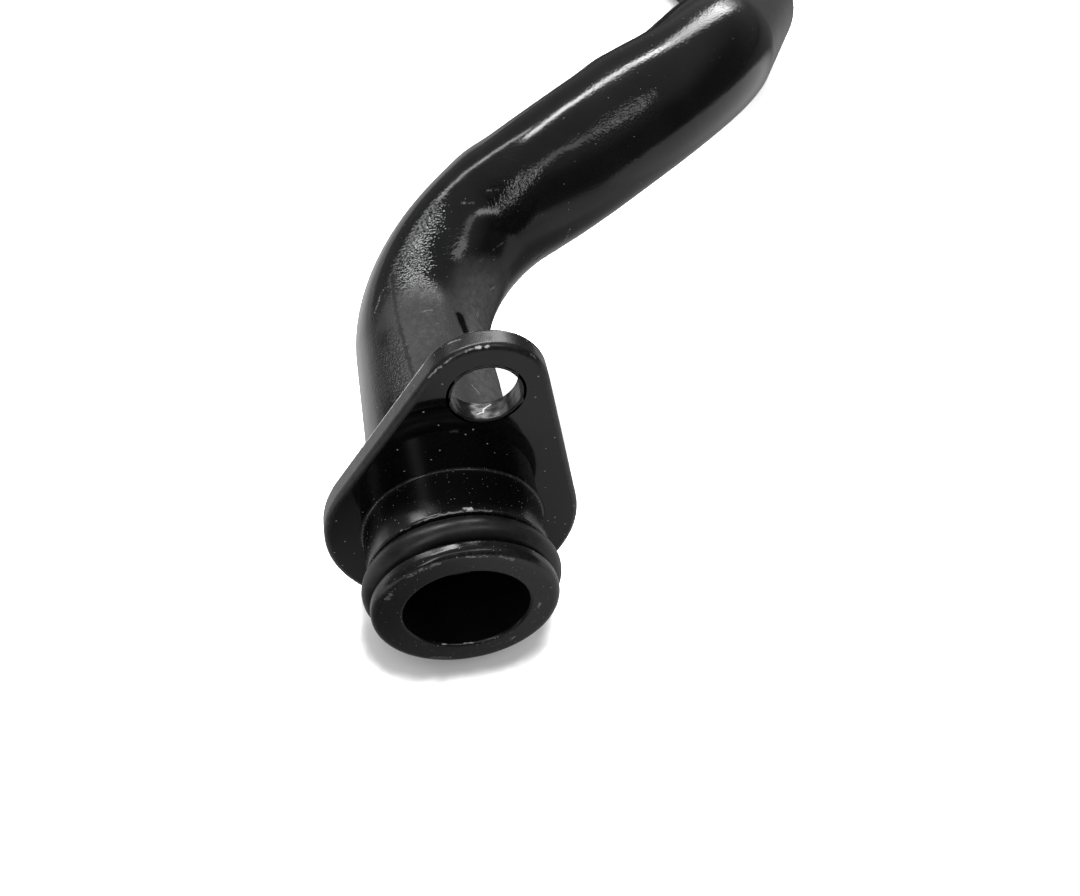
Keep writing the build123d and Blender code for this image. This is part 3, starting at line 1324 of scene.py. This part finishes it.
@dataclass
class Studio:
    """The pale floor, the strip lamps, the surrounding light and the camera.

    The shadow fields shape a painted shade on the floor under the mouth, as the camera sees it. The mirror
    fields paint shade and light on the floor that only the paint's reflections see. That of the left side
    runs
    along X: where it starts and ends, and its level at both.
    """

    target: Triple = (0.02, 0.045, 0.01)
    lamp_distance: float = 0.9
    floor_half_width: float = 3.0
    floor_colour: float = 0.8
    floor_exposure: float = 3.0
    shadow_exposure: float = 0.95
    shadow_centre: Pair = (-0.0006, -0.002)
    shadow_reach: Pair = (0.0152, 0.0119)
    shadow_edge: Pair = (0.9, 1.13)
    shadow_grain: float = 0.003
    shadow_unevenness: float = 0.1
    mirror_front: FloorShade = FloorShade((-0.03, -0.036), 0.013, 0.042, 0.06, 0.5)
    mirror_left: tuple[float, float, float, float] = (-0.11, -0.05, 0.35, 0.0)
    mirror_reach: FloorShade = FloorShade((-0.06, 0.05), 0.13, 0.26, 1.0, 0.16)
    mirror_behind: FloorShade = FloorShade((-0.03, 0.06), 0.015, 0.12, 0.95, 0.48)
    behind_across: Pair = (-0.03, -0.008)
    behind_along: Pair = (0.02, 0.05)
    mirror_right: FloorShade = FloorShade((0.2, 0.03), 0.11, 0.155, 0.6, 0.0)
    strips: tuple[Strip, ...] = (
        Strip("back_strip", (-56.0, 49.0), (27.0, 47.5), 5.5, 21.0),
        Strip("left_strip", (-47.5, 24.0), (-43.5, 45.0), 4.0, 7.0),
        Strip("right_strip", (26.0, 46.0), (31.0, 12.0), 11.0, 6.5),
        Strip("front_strip", (126.0, 54.0), (166.0, 58.0), 13.0, 2.6),
        Strip("link_strip", (166.0, 58.0), (215.0, 49.0), 9.0, 1.5),
        Strip("low_strip", (217.0, 46.0), (210.0, 14.0), 7.0, 4.5),
    )
    surround: float = 0.45
    back_wall: Triple = (-0.45, 0.89, 0.0)
    wall_edge: Pair = (-0.2, 0.9)
    wall_levels: Pair = (0.05, 0.2)
    ceiling_edge: Pair = (0.35, 0.8)
    ceiling_level: float = 0.3
    camera_view: Triple = (0.152, 0.654, -0.741)
    camera_up: Triple = (0.109, 0.734, 0.670)
    camera_place_mm: Triple = (-10.4, -95.7, 123.5)
    sensor_width: float = 36.0
    focal_widths: float = 1100.0 / 1080.0

    def floor_seen(self, sheet: NodeSheet, at: NodeSocket) -> NodeSocket:
        """The floor as the camera sees it: overexposed, with a painted shade under the spigot's mouth. The
        colour drops in a rounded patch there, so that the contact shadow shows only inside it.

        Args:
            sheet: the floor's material.
            at: the places on the floor.

        Returns:
            The floor's level.
        """
        shares = (*(1.0 / reach for reach in self.shadow_reach), 0.0)
        away = sheet.vector("SUBTRACT", at, (*self.shadow_centre, FLOOR_LEVEL))
        away = sheet.vector("ABSOLUTE", sheet.vector("MULTIPLY", away, shares))
        cubed = sheet.vector("MULTIPLY", sheet.vector("MULTIPLY", away, away), away)
        reach = sheet.math("POWER", sheet.vector("DOT_PRODUCT", cubed, (1.0, 1.0, 0.0)), 1.0 / 3.0)
        grain = sheet.noise(at, self.shadow_grain, 3.0)
        reach = sheet.math("MULTIPLY_ADD", grain, self.shadow_unevenness, reach)
        # Painted shade: the floor's colour is low inside the rounded patch under the mouth and far higher
        # outside it.
        return sheet.ramp(reach, *self.shadow_edge, self.shadow_exposure, self.floor_exposure)

    def floor_mirrored(self, sheet: NodeSheet, at: NodeSocket) -> NodeSocket:
        """The floor as the paint mirrors it, with painted shade and light: darker in front of the mouth and
        far away, lighter to the left, behind the flange and to the right.

        Args:
            sheet: the floor's material.
            at: the places on the floor.

        Returns:
            The floor's level.
        """
        places = sheet.add("ShaderNodeSeparateXYZ", {0: at}).outputs

        def level(shade: FloorShade) -> NodeSocket:
            """The level of a round shade."""
            distance = sheet.vector("DISTANCE", at, (*shade.centre, FLOOR_LEVEL))
            return sheet.ramp(distance, shade.near, shade.far, shade.inside, shade.outside)

        # Painted shade and light on the mirrored floor: darker in front of the mouth and far away, lighter to
        # the left, behind the flange and to the right.
        total = sheet.math("ADD", level(self.mirror_front), sheet.ramp(places["X"], *self.mirror_left))
        total = sheet.math("MULTIPLY", total, level(self.mirror_reach))
        across = sheet.ramp(places["X"], *self.behind_across, 1.0, 0.0)
        behind = sheet.math("MULTIPLY", across, sheet.ramp(places["Y"], *self.behind_along))
        change = sheet.math("SUBTRACT", level(self.mirror_behind), total)
        total = sheet.math("MULTIPLY_ADD", behind, change, total)
        return sheet.math("MAXIMUM", total, level(self.mirror_right))

    def floor(self) -> None:
        """Lay the floor: overexposed white to the camera with a painted shade under the mouth, and duller,
        with painted shade and light, where the pipe mirrors it.
        """
        half = self.floor_half_width
        signs = ((-1, -1), (1, -1), (1, 1), (-1, 1))
        corners = np.array([(x * half, y * half, FLOOR_LEVEL) for x, y in signs])
        floor = new_piece("studio_floor", corners, [(0, 1, 2, 3)])
        if floor.data.polygons[0].normal.z < 0:
            floor.data.flip_normals()
        material, sheet, at = start_material("studio_floor")
        seen, mirrored = sheet.rays()
        level = self.floor_colour
        looks = ((seen, self.floor_seen(sheet, at)), (mirrored, self.floor_mirrored(sheet, at)))
        for kind, value in looks:
            change = sheet.math("SUBTRACT", value, self.floor_colour)
            level = sheet.math("MULTIPLY_ADD", kind, change, level)
        matt = sheet.add("ShaderNodeBsdfDiffuse", {"Color": sheet.grey(level)})
        sheet.add("ShaderNodeOutputMaterial", {"Surface": matt.outputs[0]})
        floor.data.materials.append(material)

    def hang(self, strip: Strip) -> None:
        """Hang one strip lamp so that it faces the pipe.

        Args:
            strip: the lamp's place, width and brightness as seen.
        """
        start = direction(*strip.start) * self.lamp_distance
        end = direction(*strip.end) * self.lamp_distance
        along = (end - start).normalized()
        towards = (start + end).normalized()
        lamp = bpy.data.lights.new(strip.name, "AREA")
        lamp.shape = "RECTANGLE"
        lamp.size = (end - start).length
        lamp.size_y = 2 * self.lamp_distance * math.tan(math.radians(strip.width) / 2)
        lamp.energy = strip.radiance * math.pi * lamp.size * lamp.size_y
        axes = (along, towards.cross(along), towards)
        set_up(strip.name, lamp, axes, Vector(self.target) + (start + end) / 2)

    def world(self) -> None:
        """Surround the pipe with dim studio walls that are white where the camera looks at them."""
        world = bpy.data.worlds.new("studio")
        world.use_nodes = True
        bpy.context.scene.world = world
        sheet = NodeSheet(world.node_tree)
        seen, mirrored = sheet.rays()
        at = sheet.add("ShaderNodeTexCoord").outputs["Generated"]
        height = sheet.add("ShaderNodeSeparateXYZ", {0: at}).outputs["Z"]
        behind = sheet.vector("DOT_PRODUCT", at, self.back_wall)
        walls = sheet.ramp(behind, *self.wall_edge, *self.wall_levels)
        ceiling = sheet.ramp(height, *self.ceiling_edge)
        change = sheet.math("SUBTRACT", self.ceiling_level, walls)
        walls = sheet.math("MULTIPLY_ADD", change, ceiling, walls)
        change = sheet.math("SUBTRACT", walls, self.surround)
        strength = sheet.math("MULTIPLY_ADD", change, mirrored, self.surround)
        strength = sheet.math("MAXIMUM", strength, seen)
        light = sheet.add("ShaderNodeBackground", {"Color": (1.0, 1.0, 1.0, 1.0), "Strength": strength})
        sheet.add("ShaderNodeOutputWorld", {"Surface": light.outputs[0]})

    def camera(self) -> None:
        """Set the camera at the photograph's place: in front, above and a little to the left."""
        view = Vector(self.camera_view).normalized()
        up = Vector(self.camera_up)
        up = (up - view * up.dot(view)).normalized()
        camera = bpy.data.cameras.new("camera")
        camera.sensor_fit = "HORIZONTAL"
        camera.sensor_width = self.sensor_width
        camera.lens = self.sensor_width * self.focal_widths
        camera.clip_start = 10.0 * MM
        axes = (view.cross(up), up, -view)
        place = Vector(self.camera_place_mm) * MM
        bpy.context.scene.camera = set_up("camera", camera, axes, place)

    def build(self) -> None:
        """Set up the whole studio."""
        self.floor()
        for strip in self.strips:
            self.hang(strip)
        self.world()
        self.camera()
        bpy.context.scene.view_settings.view_transform = "Standard"


def mm(*values: float) -> tuple[float, ...]:
    """Millimetres as metres."""
    return tuple(value * MM for value in values)


def scratch_and_glint_rows(*rows: tuple) -> tuple[ScratchOrGlint, ...]:
    """Make scratches and painted glints from rows of millimetres.

    Args:
        rows: start, end and width, then the tone and the raggedness where they are not the usual ones.

    Returns:
        The scratches.
    """
    return tuple(ScratchOrGlint(mm(*start), mm(*end), width * MM, *rest) for start, end, width, *rest in rows)


# The marks that the bender left: a swelling along the outside of the first bend's end, the flattened
# inside of the second bend, shoulders where the bender's clamp sat, and small lumps between the bends
TUBE_FORMS = (
    WallForm(84.0 * MM, (-0.55, 0.1, 0.83), 0.2 * MM, 13.0 * MM, 0.7),
    WallForm(112.0 * MM, (-0.5, 0.45, 0.75), -0.55 * MM, 9.0 * MM, 0.6),
    WallForm(76.0 * MM, (-0.43, -0.63, 0.64), 0.16 * MM, 2.6 * MM, 0.22),
    WallForm(57.0 * MM, (-0.02, -0.55, 0.84), 0.1 * MM, 2.2 * MM, 0.2),
    WallForm(71.0 * MM, (-0.38, 0.69, 0.53), 0.34 * MM, 3.0 * MM, 0.45),
    WallForm(97.5 * MM, (-0.51, 0.66, 0.48), 0.28 * MM, 3.0 * MM, 0.5),
    WallForm(108.0 * MM, (-0.52, 0.62, 0.58), -0.35 * MM, 5.0 * MM, 0.5),
    WallForm(82.0 * MM, (0.42, -0.69, -0.5), 0.2 * MM, 9.0 * MM, 0.6),
    WallForm(36.0 * MM, (0.98, 0.0, 0.2), -0.4 * MM, 5.0 * MM, 0.6),
)

TUBE_PAINT = BlackPaint(
    "tube_paint",
    patches=(
        SprayPatch(mm(6.5, 54.5, 18.0), mm(2.6, 49.5, 14.4), 3.2 * MM, grain=1.6, matt=-0.04),
        SprayPatch(mm(3.8, 50.0, 15.0), mm(-0.4, 43.8, 12.0), 6.0 * MM, grain=6.5, matt=-0.05),
        SprayPatch(mm(14.0, 51.2, 20.5), mm(40.0, 57.0, 32.6), 4.0 * MM, grain=2.5, lump=4.0),
        SprayPatch(mm(6.0, 47.2, 13.8), mm(4.0, 44.5, 12.2), 3.8 * MM, lump=3.0),
        SprayPatch(mm(-0.6, 32.5, 11.0), mm(-0.8, 22.0, 11.0), 10.0 * MM, grain=3.0, matt=0.6),
        SprayPatch(mm(3.5, 21.0, 10.2), mm(5.0, 4.0, 9.6), 8.5 * MM, grain=1.0, matt=0.2),
        SprayPatch(mm(10.5, 42.0, 6.0), mm(9.0, 10.0, 7.0), 7.5 * MM, grain=1.5, matt=1.9),
        SprayPatch(mm(-5.2, 31.0, 9.8), mm(-4.6, 17.0, 9.9), 3.5 * MM, grain=4.0, matt=-0.3),
        SprayPatch(mm(5.8, 34.5, 9.4), mm(6.3, 30.5, 9.0), 1.05 * MM, matt=-1.8),
        SprayPatch(mm(48.0, 68.5, 37.3), mm(61.0, 80.0, 35.5), 6.0 * MM, grain=3.2),
    ),
    scratches_and_glints=scratch_and_glint_rows(
        ((-7.25, 38.3, 8.2), (-5.6, 42.0, 9.5), 0.3),
        ((10.5, 45.1, 11.0), (14.5, 47.1, 12.9), 0.25, 0.07),
        ((22.3, 48.0, 11.0), (20.6, 48.9, 7.6), 0.4, 0.001, 0.5),
        ((25.4, 49.0, 10.9), (25.8, 48.0, 14.0), 0.3),
        ((8.6, 51.9, 17.8), (10.3, 51.2, 18.1), 0.3),
        ((12.5, 51.7, 20.0), (14.9, 50.7, 20.6), 0.25),
        ((8.9, 37.0, 6.4), (9.1, 38.2, 6.3), 0.35),
        ((11.8, 43.2, 6.4), (12.8, 44.0, 6.2), 0.3),
        ((-0.6, 34.2, 11.0), (1.4, 34.5, 10.9), 0.2),
        ((5.3, 18.6, 9.6), (6.25, 17.2, 9.05), 0.13, 0.3, 0.3),
    ),
    creases=scratch_and_glint_rows(
        ((-3.9, 44.0, 10.6), (-4.15, 37.0, 10.2), 0.5, 0.16, 0.0),
        ((-4.15, 37.0, 10.2), (-3.9, 31.2, 10.3), 0.5, 0.16, 0.0),
        ((-3.9, 31.2, 10.3), (-2.9, 20.0, 10.6), 0.5, 0.16, 0.0),
    ),
)
FLANGE_PAINT = BlackPaint(
    "flange_paint",
    colour=(0.0017, 0.0018, 0.002),
    roughness=0.05,
    relief=0.000008,
    wave_size=0.008,
    peel_share=0.1,
    lump_size=0.002,
    inner_lumps=36.0,
    inner_matt=0.16,
    edge_amount=0.27,
    edge_grain=0.00045,
    edge_matt=0.22,
    dust_size=0.00016,
    dust_share=0.4,
    scratches_and_glints=scratch_and_glint_rows(
        # Painted glint: two pale dots on the top edge of the ear
        ((3.4, 0.2, 34.05), (3.9, 0.2, 34.1), 0.3, 0.9, 0.0),
        ((4.6, 0.25, 34.1), (4.8, 0.25, 34.1), 0.25, 0.7, 0.0),
        ((2.1, 0.25, 33.65), (3.1, 0.22, 34.0), 0.16, 0.35, 0.5),
        # Painted reflection: a pale squiggle where a lamp is mirrored in the bolt hole's wall
        ((5.5, 2.5, 21.7), (4.6, 2.05, 21.6), 0.13, 0.9, 0.1),
        ((4.6, 2.05, 21.6), (4.4, 1.4, 21.6), 0.16, 0.9, 0.0),
        ((4.4, 1.4, 21.6), (3.5, 1.0, 21.75), 0.13, 0.9, 0.1),
        ((-2.9, 0.2, 29.5), (-1.5, 0.2, 31.1), 0.16, 0.35, 0.4),
        ((-1.3, 0.2, 31.3), (0.3, 0.18, 32.7), 0.14, 0.35, 0.5),
        ((10.1, 0.3, 32.1), (10.8, 0.3, 31.3), 0.2, 0.3, 0.5),
        ((0.2, 2.5, 33.05), (1.8, 2.2, 33.75), 0.18, 0.25, 0.6),
        ((2.6, 3.0, 34.1), (3.4, 3.05, 34.25), 0.15, 0.25, 0.4),
        # Painted highlight: a pale line along the back edge of the plate's left side
        ((-11.3, 2.85, 15.98), (-2.8, 2.85, 29.75), 0.16, 0.6, 0.25),
    ),
)
# Scuffs on the face of the spigot's lip: start and end seen from the front, width in mm and tone
LIP_FACE = -13.95
LIP_SCUFFS = (
    ((-10.3, 5.2), (-9.7, 6.4), 0.5, 0.1),
    ((-7.4, 9.2), (-5.9, 10.3), 0.26, 0.12),
    ((-5.9, 10.3), (-3.3, 11.4), 0.34, 0.13),
    ((0.0, 11.9), (2.6, 11.6), 0.24, 0.2),
    ((4.2, 11.1), (6.0, 10.2), 0.34, 0.13),
)
SPIGOT_PAINT = BlackPaint(
    "spigot_paint",
    colour=(0.003, 0.0031, 0.0033),
    roughness=0.22,
    relief=0.00001,
    wave_size=0.003,
    peel_share=0.3,
    edge_amount=0.42,
    edge_grain=0.0005,
    edge_matt=-0.15,
    dust_spacing=0.00042,
    dust_size=0.0001,
    dust_share=0.6,
    scratches_and_glints=scratch_and_glint_rows(
        *(
            ((x, LIP_FACE, z), (end_x, LIP_FACE, end_z), width, tone)
            for (x, z), (end_x, end_z), width, tone in LIP_SCUFFS
        ),
        ((9.9, -14.0, -0.5), (9.6, -14.0, -1.6), 0.25),
        ((11.6, -13.7, 1.8), (11.2, -13.8, 2.9), 0.3),
        ((6.0, -13.9, -8.6), (6.6, -13.9, -8.0), 0.25),
        ((-5.0, -13.9, -10.6), (-2.4, -13.9, -11.2), 0.42, 0.06, 0.15),
        # Painted highlight: a thin pale line along the bore's lower edge
        ((-3.6, -13.7, -7.85), (0.8, -13.7, -8.6), 0.14, 0.45, 0.0),
        # Painted glint: a pale dot on top of the spigot just behind the shoulder
        ((0.7, -6.9, 12.72), (1.6, -6.9, 12.66), 0.3, 0.9, 0.2),
        # Painted highlight: a broken pale line along the shoulder's chamfer
        ((-7.6, -7.2, 10.1), (-4.6, -7.2, 11.75), 0.14, 0.25, 0.5),
        ((-4.6, -7.2, 11.75), (-1.5, -7.2, 12.55), 0.16, 0.45, 0.2),
        ((-1.5, -7.2, 12.55), (1.6, -7.2, 12.55), 0.16, 0.5, 0.2),
        ((1.6, -7.2, 12.55), (4.2, -7.2, 11.95), 0.14, 0.3, 0.4),
    ),
)
BRAZE_PAINT = BlackPaint("braze_paint", roughness=0.2, relief=0.00006, wave_size=0.002)


def main() -> None:
    """Build the pipe's pieces in order, dress them and light the scene."""
    logging.basicConfig(level=logging.INFO, format="%(name)s %(message)s")
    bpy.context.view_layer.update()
    shop = PaintShop()
    relief = relief_tree()

    tube_paint = TUBE_PAINT.material(shop)
    tube = BentTube(forms=TUBE_FORMS).build(relief, tube_paint)
    spray(tube, TUBE_PAINT.patches)
    hand_over(tube, "pipe_tube", tube_paint)

    flange_paint = FLANGE_PAINT.material(shop)
    hand_over(FlangePlate().build(), "mounting_flange", flange_paint)

    spigot_paint = SPIGOT_PAINT.material(shop)
    hand_over(TurnedSpigot().build(), "spigot", spigot_paint)

    braze_paint = BRAZE_PAINT.material(shop)
    hand_over(BrazeFillet().build(relief, braze_paint), "braze_ring", braze_paint)

    rubber = RubberFinish("ring_rubber").material(shop)
    hand_over(RubberRing().build(rubber), "o_ring", rubber)

    Studio().build()


if __name__ == "__main__":
    main()
